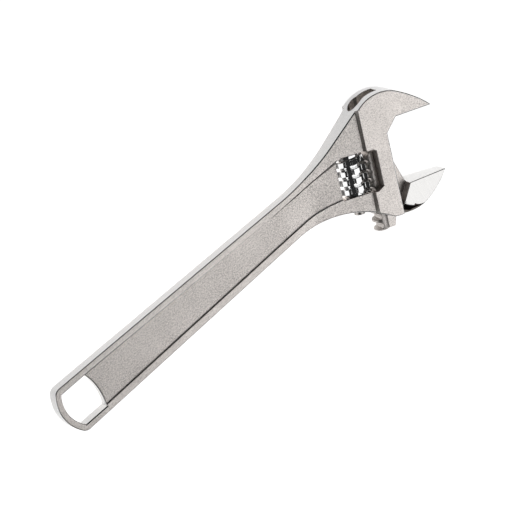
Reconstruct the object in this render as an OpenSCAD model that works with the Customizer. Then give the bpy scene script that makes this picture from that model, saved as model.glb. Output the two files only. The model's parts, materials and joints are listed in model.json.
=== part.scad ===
// Adjustable wrench, nominal 8 inch (200 mm) size, as separate pieces.
// The plan is drawn in two frames that share one origin. The handle frame has +X along the
// handle towards the jaws. The jaw frame is the same plane turned by the head angle:
// +X (u) points out to the jaw tips and +Y (v) is the way the movable jaw slides to close.
// Z = 0 is the middle plane of the forging until the last step lifts it onto the floor.

/* [Handle] */
// Distance from the head origin to the far end of the handle, mm
handle_reach = 163.5; // [150:0.5:180]
// Thickness of the handle and of its rims, mm
handle_thick = 6.2; // [5:0.1:8]
// Half width of the handle where it meets the neck, mm
handle_half_neck = 8.9; // [7:0.1:12]
// Half width of the handle at the hang hole, mm
handle_half_end = 11.2; // [8:0.1:14]
// Offset of the handle centre line from the head origin, mm
handle_offset = 6.6; // [0:0.1:12]
// Radius of the rounded handle end, mm
end_radius = 16.5; // [12:0.5:30]
// Radius of the two corners of the handle end, mm
end_corner = 4; // [1:0.5:8]
// Width of the rim around the sunk panel, mm
rim_width = 3; // [1.5:0.1:5]
// Depth of the sunk panel on each face, mm
panel_depth = 0.9; // [0.3:0.1:1.5]

/* [Hang hole] */
// Material left between the hang hole and the handle end, mm
hole_end_wall = 2.9; // [2:0.1:6]
// Length of the hang hole along the handle, mm
hole_length = 16.3; // [8:0.1:24]
// Radius of the bowed side of the hang hole, mm
hole_bow = 24; // [12:1:60]

/* [Head] */
// Angle between the handle and the jaw faces, degrees
head_angle = 22.5; // [10:0.5:30]
// Thickness of the head at the throat, mm
head_thick = 14.6; // [11:0.1:18]
// Thickness of the fixed jaw at its tip, mm
fixed_tip_thick = 12.2; // [8:0.1:16]
// Thickness of the neck just before the raised head, mm
neck_thick = 10.7; // [7:0.1:13]
// Position of the fixed jaw's grip face along v, mm
fixed_face = 20; // [15:0.1:25]
// Position of the throat wall along u, mm
throat_wall = 12; // [9:0.1:16]
// Where the fixed jaw's flat grip face starts along u, mm
grip_start = 17.2; // [14:0.1:22]
// Where the fixed jaw ends along u, mm
fixed_tip = 34.7; // [28:0.1:40]
// Radius of the head's crown, mm
crown_radius = 16.8; // [14:0.1:20]
// Radius of the fixed jaw's back, mm
jaw_back_radius = 57; // [35:1:90]
// Radius of the lower bulge of the head, mm
belly_radius = 14.4; // [10:0.1:18]
// Radius of the hollow between the handle and the lower bulge, mm
waist_radius = 45; // [30:1:60]
// Radius of the hollow between the handle and the crown, mm
shoulder_radius = 100; // [60:5:150]

/* [Movable jaw] */
// Jaw opening as drawn, mm
jaw_gap = 28.34; // [5:0.01:28.6]
// Where the movable jaw ends along u, mm
jaw_tip = 35.5; // [28:0.1:40]
// Thickness of the movable jaw at its tip, mm
jaw_tip_thick = 7.7; // [5:0.1:12]
// Radius of the movable jaw's back, mm
jaw_outer_radius = 35; // [25:1:50]
// Radius of the round rack rod, mm
rod_radius = 3.5; // [2.5:0.05:4.5]
// Position of the rack rod along u, mm
rod_u = 3.6; // [2:0.1:6]
// Length of the rack rod, mm
rod_length = 34.2; // [28:0.1:40]
// Half thickness of the web between rod and jaw, mm
web_half = 2.7; // [2:0.05:3.2]
// Running clearance of the rod and the web in the head, mm
slide_gap = 0.05; // [0.02:0.01:0.1]

/* [Knurl] */
// Pitch of the knurl's thread and of the rack, mm
pitch = 3.9; // [2.5:0.05:5]
// Outer radius of the knurl, mm
knurl_radius = 7.2; // [5.5:0.05:8]
// Radius of the knurl's core under the thread, mm
knurl_core = 4.8; // [4:0.05:6]
// Position of the knurl's axis along u, mm
knurl_u = -4.9; // [-8:0.1:-3]
// Width of the thread at its crest, mm
crest_width = 2.2; // [0.8:0.05:2.6]
// Width of the thread at its root, mm
thread_root = 2.9; // [1.5:0.05:3.2]
// Space between the thread and the rack teeth on each side, mm
mesh_gap = 0.12; // [0.05:0.01:0.3]
// Number of flutes round the knurl
flutes = 7; // [5:1:8]
// Width of each flute at the knurl's surface, mm
flute_width = 4; // [2.5:0.1:4.5]
// Depth of each flute, mm
flute_depth = 1.5; // [0.6:0.1:2]
// Radius of the bore through the knurl, mm
knurl_bore = 1.8; // [1.2:0.05:2.5]

/* [Knurl pin and spring] */
// Radius of the plain part of the pin, mm
pin_radius = 1.75; // [1:0.05:2.4]
// Radius of the slotted head of the pin, mm
pin_head_radius = 2.2; // [1.6:0.05:3]
// Radius of the spring wire, mm
wire_radius = 0.32; // [0.2:0.01:0.5]
// Turns of the spring
spring_turns = 4; // [3:0.5:7]

/* [Hidden] */
$fn = 96;
half_handle = handle_thick / 2;
half_head = head_thick / 2;
half_neck = neck_thick / 2;
// window that holds the knurl, in the jaw frame
win_left = -12.4;
win_right = 5.3;
win_low = -7.7;
win_high = 9.9;
// step between neck and raised head
step_low_u = 0.3;
step_high_u = 0.9;
// u position where the neck starts to thicken
neck_start_u = -27;
crown_c = [12.5, 15.5];
belly_c = [10, -6.2];
// movable jaw
jaw_face = fixed_face - jaw_gap;
shoulder_u = 17.25;
rod_low = -25.6;
rod_high = rod_low + rod_length;
slant = 2.88;
// the block's outer curve runs from low_left to tip_low round outer_c
low_left = [throat_wall + 0.1, jaw_face - 13.3];
tip_low = [jaw_tip, jaw_face - 0.6];
half_chord = norm(tip_low - low_left) / 2;
outer_c = (tip_low + low_left) / 2
        - sqrt(jaw_outer_radius * jaw_outer_radius - half_chord * half_chord)
        * [tip_low[1] - low_left[1], low_left[0] - tip_low[0]] / (2 * half_chord);
// rounding of the block's corner beside the rod
corner_c = [18.5, jaw_face - 1.36];
corner_radius = 7.7;
// rounding of the outer edge, which fades out towards the tip
edge_c = [16, jaw_face + 15.25];
edge_radius = 24.25;
// thread phase: crest height over the front of the knurl
crest_front = -0.5;
crest_at_rack = crest_front + pitch / 4;
lead_angle = atan(pitch / (2 * PI * (knurl_core + knurl_radius) / 2));
knurl_low = win_low + 0.35;
knurl_high = win_high - 0.15;
spring_room = 6;
// plain ends of the core beyond the thread
end_land = 0.15;
top_land = 0.5;
// the thread's upper corner is bevelled above this v, to suit the window's corner
bevel_v = win_high - 2.2;
// turns the flutes about the axis, degrees
flute_turn = -2.3;
// half angle between the edges of a flute, and between the corners of its flat floor
flute_edge = asin(flute_width / 2 / knurl_radius);
flute_floor = atan((flute_width / 2 - 1) / (knurl_radius - flute_depth));
// handle edges, in the handle frame
neck_x = -39;
end_x = -155;
taper = (handle_half_end - handle_half_neck) / (neck_x - end_x);
// arcs cross the lines they blend with by this much instead of just touching them
cross = 0.02;
function half_at(x) = handle_half_neck + taper * (neck_x - x);
function edge_up(x) = handle_offset + half_at(x);
function edge_low(x) = handle_offset - half_at(x);
// a point of the jaw frame written in the handle frame
function from_jaw(p) = [p[0] * cos(head_angle) + p[1] * sin(head_angle),
                        p[1] * cos(head_angle) - p[0] * sin(head_angle)];
end_c = [end_radius - handle_reach, handle_offset + 0.6];
// upper neck: straight flank at this angle to the handle, touching the crown
flank_angle = 17.5;
crown_touch = from_jaw(crown_c)
            + (crown_radius - cross) * [-sin(flank_angle), cos(flank_angle)];
// where the flank line meets the handle's upper edge line
corner_x = (crown_touch[1] - tan(flank_angle) * crown_touch[0] - edge_up(0))
         / (-taper - tan(flank_angle));
corner_up = [corner_x, edge_up(corner_x)];
taper_angle = atan(taper);
run_out = shoulder_radius * tan((flank_angle + taper_angle) / 2);
touch_a = corner_up + run_out * [-cos(taper_angle), sin(taper_angle)];
touch_b = corner_up + run_out * [cos(flank_angle), sin(flank_angle)];
shoulder_c = touch_a + (shoulder_radius - cross) * [sin(taper_angle), cos(taper_angle)];
// lower neck: circle touching the handle's lower edge
waist_c = [neck_x, edge_low(neck_x)]
        + (waist_radius - cross) * [sin(taper_angle), -cos(taper_angle)];
// position of the drawn part's middle, so that the origin is under the bounding box
middle = [-61.87, -0.14];
steel = [0.76, 0.75, 0.73];
polished = [0.86, 0.86, 0.87];

module to_jaw_frame() {
  rotate([0, 0, -head_angle]) children();
}

// lays the part on the floor with the origin under its middle
module placed() {
  translate([-middle[0], -middle[1], half_head]) children();
}

// turns a shape drawn in (u, z) so that it is extruded along v
module along_v(low, high) {
  translate([0, high, 0]) rotate([90, 0, 0]) linear_extrude(high - low) children();
}

module cyl_v(r, low, high) {
  translate([0, low, 0]) rotate([-90, 0, 0]) cylinder(r = r, h = high - low);
}

// rounds one corner of the handle end; side is 1 for the upper corner and -1 for the lower
module end_corner_cut(side) {
  at = end_x - 2.6;
  line_y = side > 0 ? edge_up(at) : edge_low(at);
  cy = line_y - side * (end_corner - cross);
  rise = cy - end_c[1];
  inner = end_radius - end_corner + cross;
  cx = end_c[0] - sqrt(inner * inner - rise * rise);
  reach = 3 * end_corner;
  dir = [cx - end_c[0], rise] / inner;
  difference() {
    polygon([[cx, cy], [cx, cy + side * reach], [cx - reach, cy + side * reach],
             [cx, cy] + reach * dir]);
    translate([cx, cy]) circle(r = end_corner);
  }
}

module slab() {
  translate([0, 0, -10]) linear_extrude(20) children();
}

// handle and neck in one outline, with the end still square
module handle_slab() {
  belly = from_jaw(belly_c);
  far = end_x - 12;
  slab() polygon([[far, edge_up(far)], corner_up, crown_touch, from_jaw(crown_c),
                  from_jaw([throat_wall - 0.5, belly_c[1]]), belly,
                  belly + (belly_radius - 0.5) * (waist_c - belly) / norm(waist_c - belly),
                  [neck_x, edge_low(neck_x)], [far, edge_low(far)]]);
  // hollow between the handle and the crown
  slab() difference() {
    polygon([touch_a, corner_up - [0, 6], touch_b]);
    translate(shoulder_c) circle(r = shoulder_radius, $fn = 360);
  }
}

module handle_end_cut() {
  difference() {
    translate([end_c[0] - 40, end_c[1] - 40]) square([40, 80]);
    translate(end_c) circle(r = end_radius, $fn = 180);
  }
}

module head_slab() {
  slab() translate(crown_c) circle(r = crown_radius, $fn = 180);
  slab() translate(belly_c) circle(r = belly_radius, $fn = 144);
  // back of the fixed jaw, tangent to the crown
  blend = 26;
  out = [sin(blend), cos(blend)];
  back_c = crown_c + (crown_radius - cross - jaw_back_radius) * out;
  slab() intersection() {
    translate(back_c) circle(r = jaw_back_radius, $fn = 360);
    polygon([[throat_wall - 1, 12], crown_c, crown_c + 22 * out, [fixed_tip, 36],
             [fixed_tip, fixed_face], [grip_start, fixed_face]]);
  }
}

module throat_plan() {
  polygon([[throat_wall, 14.6], [grip_start, fixed_face], [80, fixed_face], [80, -60],
           [throat_wall, -60]]);
}

module body_slab() {
  difference() {
    union() {
      handle_slab();
      to_jaw_frame() head_slab();
    }
    slab() handle_end_cut();
    slab() end_corner_cut(1);
    slab() end_corner_cut(-1);
    translate([waist_c[0], waist_c[1], -11]) cylinder(r = waist_radius, h = 22, $fn = 240);
    to_jaw_frame() translate([0, 0, -11]) linear_extrude(22) throat_plan();
  }
}

// side view of the forging in (u, z), lowered by the given depth on both faces
module side_profile(lower) {
  tip_half = half_head - (half_head - fixed_tip_thick / 2) * (60 - 15) / (fixed_tip - 15);
  upper = [[-220, half_handle - lower], [neck_start_u, half_handle - lower],
           [step_low_u, half_neck - lower], [step_high_u, half_head - lower],
           [15, half_head - lower], [60, tip_half - lower]];
  polygon(concat(upper, [for (i = [5:-1:0]) [upper[i][0], -upper[i][1]]]));
}

// plan of the sunk panel, from the hang hole to the knurl window
module panel_plan() {
  up = [[end_x, edge_up(end_x) - rim_width], [neck_x, edge_up(neck_x) - rim_width],
        [-26, 12.7], from_jaw([win_left + 0.6, win_high - 0.6])];
  low = [from_jaw([win_left + 0.6, win_low + 0.6]), [-17, -1.2], [-21, -0.1], [-26, 0.75],
         [-31, 1.1], [neck_x, edge_low(neck_x) + rim_width + 0.3],
         [end_x, edge_low(end_x) + rim_width + 0.1]];
  difference() {
    polygon(concat(up, low));
    // stops at the bowed side of the hang hole
    translate([end_x - 20, -30]) square([28, 80]);
  }
}

module hole_plan() {
  low_y = edge_low(end_x) + rim_width - 0.2;
  high_y = edge_up(end_x) - rim_width - 0.1;
  right = end_c[0] - end_radius + hole_end_wall + hole_length;
  intersection() {
    translate([right - 30, low_y]) square([31, high_y - low_y]);
    translate(end_c) circle(r = end_radius - hole_end_wall, $fn = 144);
    translate([right - hole_bow, handle_offset]) circle(r = hole_bow, $fn = 240);
  }
}

module window_plan() {
  polygon([[win_left, win_low], [2.4, win_low], [win_right, win_low + 1.5], [win_right, win_high - 0.9],
           [win_right - 1.4, win_high], [win_left + 2.2, win_high], [win_left + 0.65, win_high - 0.65],
           [win_left, win_high - 2.2]]);
}

module body() {
  color(steel) placed() difference() {
    intersection() {
      body_slab();
      to_jaw_frame() along_v(-140, 80) side_profile(0);
    }
    // sunk panels on both faces
    difference() {
      slab() panel_plan();
      to_jaw_frame() along_v(-140, 80) side_profile(panel_depth);
    }
    slab() hole_plan();
    to_jaw_frame() {
      slab() window_plan();
      // bore for the rack rod and slot for the web
      translate([rod_u, 0, 0]) cyl_v(rod_radius + slide_gap, -60, 60);
      translate([0, 0, -web_half - slide_gap]) linear_extrude(2 * (web_half + slide_gap))
        polygon([[rod_u, -60], [20.9, -60], [20.9, 10], [20.9 - 30 / slant, 40], [rod_u, 60]]);
      // bore for the knurl pin: blind at the top, wider for the pin head at the bottom
      translate([knurl_u, 0, 0]) {
        cyl_v(pin_radius, win_low - 3, win_high + 4.5);
        cyl_v(pin_head_radius, -40, win_low - 3);
      }
    }
  }
}

// plan of the movable jaw's block
module jaw_plan() {
  intersection() {
    polygon([[throat_wall + 0.1, jaw_face - 8.6], [shoulder_u, jaw_face], [jaw_tip, jaw_face],
             [jaw_tip + 0.01, jaw_face - 30], [throat_wall + 0.1, jaw_face - 30]]);
    translate(outer_c) circle(r = jaw_outer_radius, $fn = 240);
  }
}

// side view of the movable jaw in (u, z)
module jaw_profile() {
  polygon([[throat_wall, -half_head], [shoulder_u, -half_head], [jaw_tip + 0.1, -jaw_tip_thick / 2],
           [jaw_tip + 0.1, jaw_tip_thick / 2], [shoulder_u, half_head], [throat_wall, half_head]]);
}

// disc as thick as the head with a rounded rim; r is its radius at the faces of the head
module rounded_disc(r, round_r) {
  half = half_head + cross;
  start = r - sqrt(2 * round_r * cross);
  rotate_extrude($fn = 240) difference() {
    translate([0, -half]) square([start + round_r, 2 * half]);
    for (m = [0, 1]) mirror([0, m]) difference() {
      translate([start, half - round_r]) square([round_r + 1, round_r + 1]);
      translate([start, half - round_r]) circle(r = round_r);
    }
  }
}

// limits the block so that its outer edge rolls off towards the rod
module jaw_roll_off() {
  union() {
    translate(corner_c) rounded_disc(corner_radius, 5.5);
    translate([corner_c[0], -60, -12]) cube([60, 120, 24]);
    translate([-20, corner_c[1], -12]) cube([80, 60, 24]);
  }
}

module rack_gaps() {
  deep = knurl_u + knurl_radius + 0.2;
  slope = (thread_root - crest_width) / 2 / (knurl_radius - knurl_core);
  half_deep = crest_width / 2 + mesh_gap;
  half_out = half_deep + slope * (deep + 3);
  for (k = [-8:5]) {
    v = crest_at_rack + k * pitch;
    if (v > rod_low - 2 && v < rod_high + 2)
      translate([0, v, 0]) rotate([lead_angle, 0, 0]) translate([0, 0, -6])
        linear_extrude(12) polygon([[deep, -half_deep], [deep + 0.8, 0], [deep, half_deep],
                                    [-3, half_out], [-3, -half_out]]);
  }
}

module movable_jaw() {
  color(polished) placed() to_jaw_frame() {
    intersection() {
      translate([0, 0, -10]) linear_extrude(20) jaw_plan();
      along_v(-80, 40) jaw_profile();
      translate(edge_c) rounded_disc(edge_radius, 4.3);
      jaw_roll_off();
    }
    // web from the rod to the block
    translate([0, 0, -web_half]) linear_extrude(2 * web_half)
      polygon([[rod_u, 4.5], [shoulder_u - (4.5 - jaw_face) / slant, 4.5], [shoulder_u, jaw_face],
               [shoulder_u + 1, jaw_face - 3], [shoulder_u, jaw_face - 10],
               [throat_wall + 1, jaw_face - 12.8], [9.8, jaw_face - 13.3],
               [8.7, rod_low + 0.4], [rod_u, rod_low + 0.4]]);
    difference() {
      translate([rod_u, rod_low, 0]) {
        cyl_v(rod_radius, 0.8, rod_length - 0.5);
        rotate([-90, 0, 0]) cylinder(r1 = rod_radius - 0.8, r2 = rod_radius, h = 0.8);
        translate([0, rod_length - 0.5, 0])
          rotate([-90, 0, 0]) cylinder(r1 = rod_radius, r2 = rod_radius - 0.5, h = 0.5);
      }
      rack_gaps();
    }
  }
}

// radius of the thread's crest at an angle from the middle of a flute
function crest_radius(d) = abs(d) < flute_floor + 0.01
  ? (knurl_radius - flute_depth) / cos(flute_floor) : knurl_radius;

// right-handed thread ridge around v, with its crest at crest_front over the front
module thread_ridge() {
  part = 360 / flutes;
  stops = [-part / 2, -flute_edge, -flute_floor, flute_floor, flute_edge];
  r_in = knurl_core - 0.4;
  slope = (thread_root - crest_width) / 2 / (knurl_radius - knurl_core);
  low = knurl_low + end_land;
  high = knurl_high - top_land;
  thin = 0.05;
  turns = [for (k = [-40:40]) for (s = stops)
           let (a = (k + 0.5) * part + s + flute_turn, v = crest_front + a / 360 * pitch)
           if (v + crest_width / 2 > low + thin && v - crest_width / 2 < high - thin) [a, s]];
  points = [for (t = turns) let (a = t[0], v = crest_front + a / 360 * pitch, r = crest_radius(t[1]))
            for (q = [[r_in, -1], [r, -1], [r, 1], [r_in, 1]])
            let (w = crest_width / 2 + slope * (knurl_radius - q[0]))
            let (at = max(low, min(high, v + q[1] * w)), far = min(q[0], knurl_radius + bevel_v - at))
            [far * sin(a), at, far * cos(a)]];
  n = len(turns) - 1;
  sides = [for (i = [0:n - 1]) for (j = [0:3]) let (a = 4 * i + j, b = 4 * i + (j + 1) % 4)
           each [[a, b, b + 4], [a, b + 4, a + 4]]];
  polyhedron(points, concat(sides, [[3, 2, 1, 0]], [[4 * n, 4 * n + 1, 4 * n + 2, 4 * n + 3]]));
}

module knurl() {
  color(polished) placed() to_jaw_frame() translate([knurl_u, 0, 0]) {
    difference() {
      cyl_v(knurl_core, knurl_low, knurl_high);
      cyl_v(knurl_bore, knurl_low - 1, knurl_high + 1);
      cyl_v(pin_radius + 2 * wire_radius + 0.7, knurl_low - 1, knurl_low + spring_room);
    }
    thread_ridge();
  }
}

module knurl_pin() {
  color(steel) placed() to_jaw_frame() translate([knurl_u, 0, 0]) difference() {
    union() {
      cyl_v(pin_radius, win_low - 3, win_high + 4);
      cyl_v(pin_head_radius, -16.2, win_low - 3);
    }
    // screwdriver slot
    translate([-pin_head_radius - 1, -17, -0.35]) cube([2 * pin_head_radius + 2, 1.8, 0.7]);
  }
}

module knurl_spring() {
  steps = 18;
  sides_n = 7;
  r_mid = pin_radius + wire_radius + 0.2;
  low = win_low + wire_radius;
  high = knurl_low + spring_room - wire_radius;
  n = spring_turns * steps;
  points = [for (i = [0:n]) let (a = i * 360 / steps, v = low + (high - low) * i / n)
            for (j = [0:sides_n - 1]) let (b = j * 360 / sides_n, r = r_mid + wire_radius * cos(b))
            [r * sin(a), v + wire_radius * sin(b), r * cos(a)]];
  skin = [for (i = [0:n - 1]) for (j = [0:sides_n - 1])
          let (a = sides_n * i + j, b = sides_n * i + (j + 1) % sides_n)
          each [[a, b, b + sides_n], [a, b + sides_n, a + sides_n]]];
  cap_a = [[for (j = [sides_n - 1:-1:0]) j]];
  cap_b = [[for (j = [0:sides_n - 1]) sides_n * n + j]];
  color(steel) placed() to_jaw_frame() translate([knurl_u, 0, 0])
    polyhedron(points, concat(skin, cap_a, cap_b));
}

body();
movable_jaw();
knurl();
knurl_pin();
knurl_spring();
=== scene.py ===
import json
import math

import bmesh
import bpy
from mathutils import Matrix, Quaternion, Vector


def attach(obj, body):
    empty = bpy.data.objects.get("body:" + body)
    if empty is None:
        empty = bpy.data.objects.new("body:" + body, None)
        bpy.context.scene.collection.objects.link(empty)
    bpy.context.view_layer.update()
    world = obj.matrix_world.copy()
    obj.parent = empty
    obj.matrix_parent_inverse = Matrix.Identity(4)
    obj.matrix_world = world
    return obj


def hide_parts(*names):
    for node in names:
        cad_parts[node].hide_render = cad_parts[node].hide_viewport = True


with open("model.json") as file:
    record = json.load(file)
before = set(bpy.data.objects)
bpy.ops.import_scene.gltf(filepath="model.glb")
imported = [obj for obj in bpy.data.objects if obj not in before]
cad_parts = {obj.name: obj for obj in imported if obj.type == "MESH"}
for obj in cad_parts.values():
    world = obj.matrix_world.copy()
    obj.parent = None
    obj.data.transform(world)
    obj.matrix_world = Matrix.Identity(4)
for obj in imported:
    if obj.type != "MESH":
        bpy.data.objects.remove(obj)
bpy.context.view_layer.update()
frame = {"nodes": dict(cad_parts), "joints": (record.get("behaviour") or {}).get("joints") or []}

# ---------------------------------------------------------------- the object's own directions
MM = 0.001
joint = {j["name"]: j for j in frame["joints"]}
V_AXIS = Vector(joint["jaw_slide"]["axis"]).normalized()
U_AXIS = Vector((V_AXIS.y, -V_AXIS.x, 0.0))
Z_AXIS = Vector((0.0, 0.0, 1.0))
KNURL_CENTRE = Vector(joint["knurl_spin"]["pos_m"])
KNURL_U, KNURL_V = -4.9, 1.0  # where the knurl's centre is in the jaw frame, in mm


def uvz(p):
    """A point's (u, v, z) in the jaw frame, in mm: u towards the jaw tips, v the way the jaw closes."""
    d = Vector(p) - KNURL_CENTRE
    return d.dot(U_AXIS) / MM + KNURL_U, d.dot(V_AXIS) / MM + KNURL_V, d.z / MM


# ---------------------------------------------------------------- the object's zones, in mm in the jaw frame
WINDOW_U, WINDOW_V = (-12.4, 5.3), (-7.7, 9.9)  # the window that the knurl sits in
CORNER_U, CORNER_V = (-12.8, -10.5), (7.0, 10.4)  # its corner that the sunk panel's edge runs into
CROSSING = (-11.84, 8.9, 3.47)  # where two roundings cross at that corner
STEP_U = (0.3, 0.9)  # the step up from the neck to the head's raised face
NECK_U = -27.0  # where the flat handle ends and the neck begins to thicken
HALF_HANDLE, HALF_NECK = 3.1, 5.35  # half the thickness there, and at the step
NECK_SLOPE = (HALF_NECK - HALF_HANDLE) / (STEP_U[0] - NECK_U)
HANDLE_RIM_U = -30.0  # the handle's rims are a little brighter below this
ROD_U, ROD_RADIUS = 3.6, 3.5
ROD_REACH = ROD_RADIUS + 0.4  # the bore's walls and edges lie this close to the rod's axis
CROWN_V = 31.0  # the bore ends below this
INNER_U = -12.0  # bores, slots and other inner edges lie above this
RACK_U = 8.0  # the jaw's rack rod ends here
BLOCK_U, SHOULDER_U = 12.0, 17.25  # its block begins and its ground relief ends here
TIP_U = 33.0  # the jaw's tip lies beyond this
JAW_FACE_V = -8.34  # the movable jaw's gripping face
ROLL_V = -12.0  # the rolled edge, painted near-black as shade, lies below this
HALF_WEB = 2.7  # half the thickness of the web between rod and block


def within(x, span, margin=0.0):
    return span[0] - margin < x < span[1] + margin


def flat(f, least=0.9):
    """Whether a face lies nearly square to Z."""
    return abs(f.normal.z) > least


# ---------------------------------------------------------------- materials
def empty_material(name):
    m = bpy.data.materials.new(name)
    m.use_nodes = True
    t = m.node_tree
    t.nodes.clear()
    out = t.nodes.new("ShaderNodeOutputMaterial")
    bsdf = t.nodes.new("ShaderNodeBsdfPrincipled")
    t.links.new(bsdf.outputs[0], out.inputs[0])
    return m, t, bsdf


def ramp(t, source, stops):
    """A colour ramp. A stop is a place and either a colour or one grey level."""
    r = t.nodes.new("ShaderNodeValToRGB")
    for e, (at, c) in zip(r.color_ramp.elements, stops):
        e.position = at
        e.color = (c[0], c[1], c[2], 1) if hasattr(c, "__len__") else (c, c, c, 1)
    t.links.new(source, r.inputs[0])
    return r.outputs[0]


def noise(t, coords, size_mm, detail, rough):
    n = t.nodes.new("ShaderNodeTexNoise")
    n.inputs["Scale"].default_value = 1.0 / (size_mm * MM)
    n.inputs["Detail"].default_value = detail
    n.inputs["Roughness"].default_value = rough
    t.links.new(coords, n.inputs["Vector"])
    return n.outputs["Fac"]


def add_scaled(t, value, factor, base):
    """value * factor + base."""
    n = t.nodes.new("ShaderNodeMath")
    n.operation = "MULTIPLY_ADD"
    t.links.new(value, n.inputs[0])
    n.inputs[1].default_value = factor
    t.links.new(base, n.inputs[2])
    return n.outputs[0]


def stretched(t, coords, angle):
    """Coordinates drawn out along one direction, for a brushed grain."""
    n = t.nodes.new("ShaderNodeMapping")
    n.inputs["Rotation"].default_value = (0, 0, math.radians(angle))
    n.inputs["Scale"].default_value = (1.0, 0.08, 1.0)
    t.links.new(coords, n.inputs["Vector"])
    return n.outputs[0]


BLOTCH_MM = 14.0
GRAIN_REACH = 0.26


def metal(name, tone, spread, rough, grain_mm, grain_bump, speck=0.5, along=None):
    """Plated steel. A grain of two sizes and a broad blotch vary its tone, its roughness and its bump."""
    m, t, bsdf = empty_material(name)
    place = t.nodes.new("ShaderNodeTexCoord").outputs["Object"]
    grain_place = place if along is None else stretched(t, place, along)
    broad = noise(t, place, BLOTCH_MM, 3.0, 0.55)
    coarse = noise(t, grain_place, grain_mm, 1.0, 0.5)
    fine = noise(t, grain_place, grain_mm / 2.3, 1.0, 0.5)
    grain = t.nodes.new("ShaderNodeMapRange")
    t.links.new(add_scaled(t, fine, speck, coarse), grain.inputs["Value"])
    middle = 0.5 + speck / 2
    grain.inputs["From Min"].default_value = middle - GRAIN_REACH
    grain.inputs["From Max"].default_value = middle + GRAIN_REACH
    mix = add_scaled(t, broad, 0.35, grain.outputs[0])
    low = [c * (1 - spread) for c in tone]
    high = [c * min(1 + spread, 1 / max(tone)) for c in tone]
    t.links.new(ramp(t, mix, [(0.12, low), (1.0, high)]), bsdf.inputs["Base Color"])
    t.links.new(ramp(t, mix, [(0.12, rough * 1.15), (1.0, rough * 0.85)]), bsdf.inputs["Roughness"])
    bsdf.inputs["Metallic"].default_value = 1.0
    bump = t.nodes.new("ShaderNodeBump")
    bump.inputs["Strength"].default_value = grain_bump
    bump.inputs["Distance"].default_value = 0.05 * MM
    t.links.new(grain.outputs[0], bump.inputs["Height"])
    t.links.new(bump.outputs[0], bsdf.inputs["Normal"])
    return m


def warm(level):
    """A warm grey."""
    return [level * c for c in (1.0, 0.942, 0.9)]


SATIN = metal("satin_chrome", warm(0.77), 0.3, 0.46, 0.5, 0.3, speck=0.7)
PANEL = metal("blasted_panel", warm(0.88), 0.46, 0.48, 0.5, 0.4, speck=0.7)
FACE = metal("satin_head_face", warm(0.80), 0.2, 0.46, 0.5, 0.3, speck=0.7)
HANDLE_RIM = metal("satin_handle_rim", warm(0.84), 0.19, 0.47, 0.5, 0.35, speck=0.7)
# The step's dark tone is painted shade, partly also its rougher unpolished finish.
STEP_PAINTED_SHADE = metal("rough_step_painted_shade", warm(0.2), 0.3, 0.5, 0.5, 0.4, speck=0.7)
POLISH = metal("polished_side", (0.58, 0.575, 0.57), 0.04, 0.22, 0.5, 0.05, along=-11)
JAW_POLISH = metal("jaw_chrome", (0.70, 0.692, 0.682), 0.015, 0.14, 0.4, 0.03, along=22.5)
INNER = metal("window_steel", warm(0.82), 0.2, 0.5, 0.5, 0.3)
BORE = metal("bore_steel", warm(0.38), 0.25, 0.4, 0.5, 0.3)
LIP = metal("polished_lip", warm(0.86), 0.04, 0.15, 0.5, 0.05)
# The window's wall facing the jaw tips is a near-white, lighter copy of the window steel: painted light.
WINDOW_WALL_PAINTED_LIGHT = metal("window_wall_painted_light", (0.95, 0.94, 0.93), 0.03, 0.75, 0.5, 0.2)
GROUND = metal("ground_relief", warm(0.9), 0.15, 0.42, 0.5, 0.3)
# The jaw's rolled lower edge is painted near-black: painted shade in place of the dark surroundings it would
# mirror.
ROLLED_EDGE_SHADE = metal("rolled_edge_painted_shade", (0.1, 0.088, 0.076), 0.1, 0.12, 0.5, 0.05)
ROD = metal("rack_steel", warm(0.5), 0.25, 0.46, 0.5, 0.4)
WEB = metal("web_steel", warm(0.8), 0.2, 0.46, 0.5, 0.3, speck=0.7)
KNURL = metal("knurl_chrome", (0.86, 0.86, 0.86), 0.03, 0.07, 0.5, 0.03)
PIN = metal("pin_steel", warm(0.45), 0.15, 0.36, 0.4, 0.2)
SPRING = metal("spring_wire", warm(0.42), 0.12, 0.34, 0.3, 0.15)


# ---------------------------------------------------------------- pieces with rounded edges
def merge_flats(bm, weld):
    """Join what the CAD mesh cut into triangles, and corners closer together than weld, in mm."""
    bmesh.ops.remove_doubles(bm, verts=bm.verts, dist=2e-6)
    bmesh.ops.dissolve_limit(bm, angle_limit=math.radians(0.5), verts=bm.verts, edges=bm.edges)
    if weld:
        bmesh.ops.remove_doubles(bm, verts=bm.verts, dist=weld * MM)
    bm.normal_update()
    level = [e for e in bm.edges if len(e.link_faces) == 2 and all(flat(f) for f in e.link_faces)
             and e.calc_face_angle(0) < math.radians(2.0)]
    bmesh.ops.dissolve_edges(bm, edges=level, use_verts=False)
    bm.normal_update()


def weigh_edges(bm, weigh, limit):
    """Give edges sharper than limit, in degrees, their rounding, and keep the creases between large flats."""
    layer = bm.edges.layers.float.new("bevel_weight_edge")
    for e in bm.edges:
        if len(e.link_faces) != 2:
            continue
        angle = math.degrees(e.calc_face_angle(0))
        f, g = e.link_faces
        if angle > limit:
            e[layer] = weigh((e.verts[0].co + e.verts[1].co) / 2, f, g)
        elif angle > 0.8 and min(f.calc_area(), g.calc_area()) > 3 * MM * MM and flat(f) and flat(g):
            e.smooth = False


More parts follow.
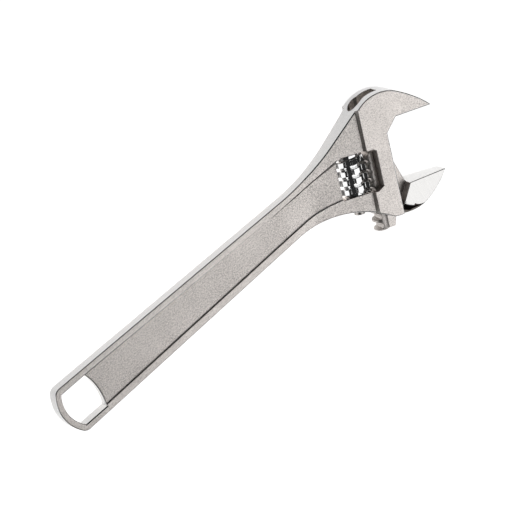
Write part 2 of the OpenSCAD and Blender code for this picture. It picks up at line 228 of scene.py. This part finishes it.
def rounding(ob, segments):
    """Round the weighed edges, with an edge of weight 1 rounded by 1 mm, and apply it."""
    bevel = ob.modifiers.new("round", "BEVEL")
    bevel.width = 1.0 * MM
    bevel.segments = segments
    bevel.limit_method = "WEIGHT"
    bevel.use_clamp_overlap = False
    bevel.miter_outer = "MITER_SHARP"
    normals = ob.modifiers.new("normals", "WEIGHTED_NORMAL")
    normals.mode = "FACE_AREA"
    normals.weight = 100
    normals.keep_sharp = True
    bpy.context.view_layer.update()
    dg = bpy.context.evaluated_depsgraph_get()
    made = bpy.data.meshes.new_from_object(ob.evaluated_get(dg), preserve_all_data_layers=True, depsgraph=dg)
    made.name = ob.name
    ob.modifiers.clear()
    ob.data = made


def mend(me, spots):
    """Merge the corners within 0.3 mm of each spot, where two roundings have crossed."""
    bm = bmesh.new()
    bm.from_mesh(me)
    for spot in spots:
        near = [v for v in bm.verts if (Vector(uvz(v.co)) - Vector(spot)).length < 0.3]
        if len(near) > 1:
            bmesh.ops.pointmerge(bm, verts=near, merge_co=sum((v.co for v in near), Vector()) / len(near))
    bm.to_mesh(me)
    bm.free()


def rounded(node, name, weigh, zone, segments=3, weld=0.0, limit=28.0, spots=()):
    """A copy of a CAD piece with its flat faces merged and its edges rounded, riding the body of the same
    name. weigh gives each sharp edge its radius in mm from its middle and its two faces, and zone gives each
    face its material."""
    me = frame["nodes"][node].data.copy()
    me.materials.clear()
    ob = bpy.data.objects.new(name, me)
    bpy.context.scene.collection.objects.link(ob)
    bm = bmesh.new()
    bm.from_mesh(me)
    merge_flats(bm, weld)
    weigh_edges(bm, weigh, limit)
    for f in bm.faces:
        f.smooth = True
    bm.to_mesh(me)
    bm.free()
    rounding(ob, segments)
    if spots:
        mend(ob.data, spots)
    used = []
    for p in ob.data.polygons:
        m = zone(p)
        if m not in used:
            used.append(m)
            ob.data.materials.append(m)
        p.material_index = used.index(m)
    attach(ob, node)
    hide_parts(node)


def height(f):
    zs = [v.co.z for v in f.verts]
    return (max(zs) - min(zs)) / MM


def panel_wall(f):
    """Whether a face is the low wall round a sunk panel."""
    return not flat(f) and height(f) < 1.6


def on_step(u, z):
    return within(u, STEP_U, 0.6) and abs(z) > HALF_NECK - 0.35


def body_edge(mid, f, g):
    u, v, z = uvz(mid)
    if on_step(u, z):
        return 0.12
    if within(u, CORNER_U) and within(v, CORNER_V):
        return 0.04
    if within(u, WINDOW_U, 0.5) and within(v, WINDOW_V, 0.5):
        return 0.18
    if abs(z) < ROD_REACH and u > INNER_U:
        return 0.2
    if panel_wall(f) or panel_wall(g):
        return 0.17
    return 0.6 if flat(f) != flat(g) else 0.22


def sunk(u, z):
    """Whether a flat face of the forging is the floor of a sunk panel: its depth below the rims tells."""
    rim = HALF_HANDLE + max(0.0, u - NECK_U) * NECK_SLOPE
    return u < KNURL_U and abs(z) < rim - 0.5


def body_zone(p):
    u, v, z = uvz(p.center)
    if within(u, WINDOW_U, 0.2) and within(v, WINDOW_V, 0.2) and abs(p.normal.z) < 0.8:
        if p.normal.dot(V_AXIS) > 0.4:
            return LIP
        # The window wall facing the jaw tips gets the lighter copy, which is painted light.
        return WINDOW_WALL_PAINTED_LIGHT if p.normal.dot(U_AXIS) > 0.9 else INNER
    if flat(p, 0.96):
        if u > STEP_U[1]:
            return FACE
        if sunk(u, z):
            return PANEL
        return HANDLE_RIM if u < HANDLE_RIM_U else SATIN
    # The step up to the head gets the dark tone of painted shade, partly a rougher finish.
    if on_step(u, z):
        return STEP_PAINTED_SHADE
    if abs(u - ROD_U) < ROD_REACH and abs(z) < ROD_REACH and abs(v) < CROWN_V:
        return BORE
    return POLISH


def jaw_edge(mid, f, g):
    u, v, z = uvz(mid)
    if u < ROD_U + ROD_RADIUS + 0.1:
        return 0.08
    if u > TIP_U:
        return 0.12
    return 0.45 if v > JAW_FACE_V - 0.1 else 0.25


def jaw_zone(p):
    u, v, z = uvz(p.center)
    if within(u, (BLOCK_U, SHOULDER_U), 0.1) and not flat(p, 0.3) and p.normal.dot(U_AXIS) < -0.6:
        return GROUND
    # The block's rolled lower edge gets the near-black painted shade.
    if flat(p, 0.12) and p.normal.dot(V_AXIS) < -0.3 and u > BLOCK_U and v < ROLL_V:
        return ROLLED_EDGE_SHADE
    if flat(p) and abs(abs(z) - HALF_WEB) < 0.1:
        return WEB
    in_web = abs(z) < HALF_WEB + 0.05 and v > JAW_FACE_V + 0.15
    if u < RACK_U or (u < BLOCK_U + 0.05 and abs(z) < HALF_WEB + 0.2) or in_web:
        return ROD
    return JAW_POLISH


cross_u, cross_v, cross_z = CROSSING
rounded("body", "forged_body", body_edge, body_zone, weld=0.15,
        spots=[(cross_u, cross_v, cross_z), (cross_u, cross_v, -cross_z)])
rounded("movable_jaw", "sliding_jaw", jaw_edge, jaw_zone)
rounded("knurl", "worm", lambda mid, f, g: 0.07, lambda p: KNURL, segments=2, limit=20.0)

for node, material in (("knurl_pin", PIN), ("knurl_spring", SPRING)):
    ob = frame["nodes"][node]
    ob.data.materials.clear()
    ob.data.materials.append(material)


# ---------------------------------------------------------------- floor, light, camera
def pale_floor():
    bpy.ops.mesh.primitive_plane_add(size=12, location=(0, 0, 0))
    floor = bpy.context.object
    floor.name = "floor"
    m, t, bsdf = empty_material("pale_floor")
    bsdf.inputs["Base Color"].default_value = (0.9, 0.9, 0.9, 1)
    bsdf.inputs["Roughness"].default_value = 0.8
    bsdf.inputs["Emission Color"].default_value = (1, 1, 1, 1)
    bsdf.inputs["Emission Strength"].default_value = 0.9
    floor.data.materials.append(m)


def dim_world():
    """A nearly dark studio, a little lighter overhead."""
    world = bpy.data.worlds.new("studio")
    bpy.context.scene.world = world
    world.use_nodes = True
    t = world.node_tree
    t.nodes.clear()
    out = t.nodes.new("ShaderNodeOutputWorld")
    bg = t.nodes.new("ShaderNodeBackground")
    t.links.new(bg.outputs[0], out.inputs[0])
    place = t.nodes.new("ShaderNodeTexCoord").outputs["Generated"]
    split = t.nodes.new("ShaderNodeSeparateXYZ")
    t.links.new(place, split.inputs[0])
    t.links.new(ramp(t, split.outputs["Z"], [(0.0, 0.012), (1.0, 0.03)]), bg.inputs["Color"])
    bg.inputs["Strength"].default_value = 1.0


def softbox(name, direction, distance, size, radiance):
    """A round softbox seen from the knurl in a direction given as (u, v, z)."""
    d = (direction[0] * U_AXIS + direction[1] * V_AXIS + direction[2] * Z_AXIS).normalized()
    light = bpy.data.lights.new(name, "AREA")
    light.shape = "DISK"
    light.size = size
    light.energy = radiance * math.pi * math.pi * size * size / 4
    ob = bpy.data.objects.new(name, light)
    bpy.context.scene.collection.objects.link(ob)
    ob.location = KNURL_CENTRE + d * distance
    ob.rotation_mode = "QUATERNION"
    ob.rotation_quaternion = (-d).to_track_quat("-Z", "Y")


def camera(target, azimuth, elevation, roll, distance, lens):
    """A camera in a direction from its target and turned by roll about its line of sight, in degrees."""
    a, e = math.radians(azimuth), math.radians(elevation)
    away = Vector((math.cos(e) * math.cos(a), math.cos(e) * math.sin(a), math.sin(e)))
    data = bpy.data.cameras.new("camera")
    data.sensor_width = 36.0
    data.lens = lens
    data.clip_start = 0.1
    data.clip_end = 20.0
    ob = bpy.data.objects.new("camera", data)
    bpy.context.scene.collection.objects.link(ob)
    ob.location = target + away * distance
    ob.rotation_mode = "QUATERNION"
    ob.rotation_quaternion = away.to_track_quat("Z", "Y") @ Quaternion(Z_AXIS, math.radians(roll))
    bpy.context.scene.camera = ob


pale_floor()
dim_world()
softbox("key", (0.51, -0.25, 0.823), 0.8, 0.76, 1.25)
softbox("left", (-0.95, -0.24, 0.18), 0.75, 0.5, 1.2)
camera(target=Vector((8.577, -2.958, -7.945)) * MM, azimuth=123.381, elevation=63.093, roll=108.314,
       distance=2.0603, lens=351.29)
bpy.context.scene.view_settings.view_transform = "Standard"
bpy.context.scene.view_settings.look = "None"
